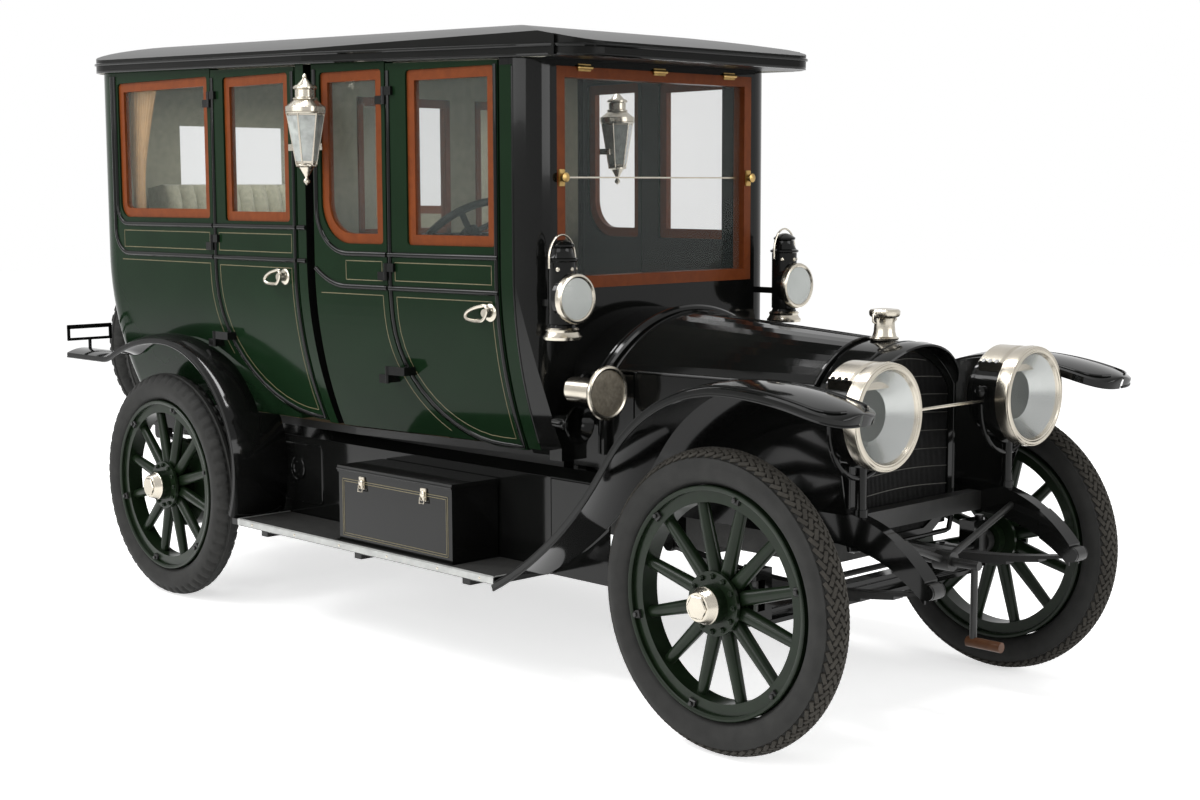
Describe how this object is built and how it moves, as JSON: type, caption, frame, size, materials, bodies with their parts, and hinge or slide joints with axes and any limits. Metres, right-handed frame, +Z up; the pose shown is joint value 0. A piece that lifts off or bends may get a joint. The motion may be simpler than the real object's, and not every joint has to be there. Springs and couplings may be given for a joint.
{
  "type": "vintage enclosed limousine motor car",
  "caption": "Tall enclosed limousine motor car with separate wings, running boards, artillery wheels, carriage lamps and a division behind the driver.",
  "frame": {"origin": "on the ground under the middle of the car's bounding box", "axes": "+X forward, +Y to the car's left, +Z up"},
  "size_m": [4.572, 1.708, 2.3009],
  "materials": {
    "tyre": "dull rubber",
    "green_wood": "gloss green paint on wood",
    "green_paint": "gloss bottle green",
    "mahogany": "varnished mahogany",
    "window_glass": "clear",
    "nickel": "polished nickel",
    "cloth": "pleated wool cloth",
    "leather": "buttoned leather",
    "cast_iron": "as cast",
    "floor_wood": "planks",
    "core": "dark fins",
    "black_paint": "gloss black"
  },
  "bodies": {
    "chassis": {"rails": "black_paint", "cross_members": "black_paint", "front_axle": "black_paint", "rear_axle": "black_paint", "springs": "black_paint", "power_unit": "cast_iron", "radiator_shell": "black_paint", "radiator_core": "core", "radiator_cap": "nickel", "cowl": "black_paint", "rear_body": "green_paint", "centre_posts": "green_paint", "front_frame": "black_paint", "fixed_sashes": "mahogany", "fixed_glass": "window_glass", "roof": "black_paint", "floor_pan": "floor_wood", "partition": "green_paint", "front_seat": "leather", "rear_seat": "cloth", "front_wings": "black_paint", "rear_wings": "black_paint", "running_boards": "black_paint", "tool_box": "black_paint", "headlamps": "black_paint", "headlamp_rims": "nickel", "side_lamps": "black_paint", "carriage_lamps": "nickel", "horn": "nickel", "spare_tyres": "tyre", "steering_column": "black_paint"},
    "hood_r": {"hood_r": "black_paint"},
    "hood_l": {"hood_l": "black_paint"},
    "tool_box_lid": {"tool_box_lid": "black_paint"},
    "steering_wheel": {"steering_wheel": "black_paint"},
    "starting_crank": {"starting_crank": "black_paint"},
    "knuckle_r": {"knuckle_r": "black_paint"},
    "knuckle_l": {"knuckle_l": "black_paint"},
    "tie_rod": {"tie_rod": "black_paint"},
    "door_rr": {"door_rr": "green_paint", "sash_rr": "mahogany", "glass_rr": "window_glass"},
    "wheel_rr": {"wheel_rr": "green_wood", "tyre_rr": "tyre"},
    "door_rl": {"door_rl": "green_paint", "sash_rl": "mahogany", "glass_rl": "window_glass"},
    "wheel_rl": {"wheel_rl": "green_wood", "tyre_rl": "tyre"},
    "door_fr": {"door_fr": "green_paint", "sash_fr": "mahogany", "glass_fr": "window_glass"},
    "wheel_fr": {"wheel_fr": "green_wood", "tyre_fr": "tyre"},
    "door_fl": {"door_fl": "green_paint", "sash_fl": "mahogany", "glass_fl": "window_glass"},
    "wheel_fl": {"wheel_fl": "green_wood", "tyre_fl": "tyre"}
  },
  "joints": [
    {"name": "steer_r", "type": "hinge", "parent": "chassis", "child": "knuckle_r", "pos_m": [1.754, -0.595, 0.457], "axis": [0, 0, 1], "range_deg": [-30, 30]},
    {"name": "steer_l", "type": "hinge", "parent": "chassis", "child": "knuckle_l", "pos_m": [1.754, 0.595, 0.457], "axis": [0, 0, 1], "range_deg": [-30, 30]},
    {"name": "tie_rod_pivot", "type": "hinge", "parent": "knuckle_r", "child": "tie_rod", "pos_m": [1.604, -0.595, 0.411], "axis": [0, 0, 1], "range_deg": [-30, 30]},
    {"name": "steering_wheel_turn", "type": "hinge", "parent": "chassis", "child": "steering_wheel", "pos_m": [0.176, -0.33, 1.5], "axis": [-0.6157, 0, 0.788], "range_deg": [-300, 300]},
    {"name": "spin_fr", "type": "hinge", "parent": "knuckle_r", "child": "wheel_fr", "pos_m": [1.754, -0.711, 0.457], "axis": [0, 1, 0], "continuous": true},
    {"name": "spin_fl", "type": "hinge", "parent": "knuckle_l", "child": "wheel_fl", "pos_m": [1.754, 0.711, 0.457], "axis": [0, 1, 0], "continuous": true},
    {"name": "spin_rr", "type": "hinge", "parent": "chassis", "child": "wheel_rr", "pos_m": [-1.294, -0.711, 0.457], "axis": [0, 1, 0], "continuous": true},
    {"name": "spin_rl", "type": "hinge", "parent": "chassis", "child": "wheel_rl", "pos_m": [-1.294, 0.711, 0.457], "axis": [0, 1, 0], "continuous": true},
    {"name": "door_rr_hinge", "type": "hinge", "parent": "chassis", "child": "door_rr", "pos_m": [-0.947, -0.709, 1.4], "axis": [0, 0, -1], "range_deg": [0, 75]},
    {"name": "door_rl_hinge", "type": "hinge", "parent": "chassis", "child": "door_rl", "pos_m": [-0.947, 0.709, 1.4], "axis": [0, 0, 1], "range_deg": [0, 75]},
    {"name": "door_fr_hinge", "type": "hinge", "parent": "chassis", "child": "door_fr", "pos_m": [0.11403, -0.67047, 1.4], "axis": [0, 0, -1], "range_deg": [0, 75]},
    {"name": "door_fl_hinge", "type": "hinge", "parent": "chassis", "child": "door_fl", "pos_m": [0.11403, 0.67047, 1.4], "axis": [0, 0, 1], "range_deg": [0, 75]},
    {"name": "hood_r_hinge", "type": "hinge", "parent": "chassis", "child": "hood_r", "pos_m": [0.978, 0, 1.238], "axis": [-0.998, 0, 0.0629], "range_deg": [0, 60]},
    {"name": "hood_l_hinge", "type": "hinge", "parent": "chassis", "child": "hood_l", "pos_m": [0.978, 0, 1.238], "axis": [0.998, 0, -0.0629], "range_deg": [0, 60]},
    {"name": "tool_box_lid_hinge", "type": "hinge", "parent": "chassis", "child": "tool_box_lid", "pos_m": [-0.076, -0.548, 0.6706], "axis": [1, 0, 0], "range_deg": [-70, 0]},
    {"name": "crank_turn", "type": "hinge", "parent": "chassis", "child": "starting_crank", "pos_m": [2.006, 0, 0.517], "axis": [1, 0, 0], "continuous": true}
  ],
  "couplings": [
    {"joint": "steer_l", "follows": "steer_r", "ratio": 1},
    {"joint": "tie_rod_pivot", "follows": "steer_r", "ratio": -1},
    {"joint": "steering_wheel_turn", "follows": "steer_r", "ratio": 10}
  ]
}
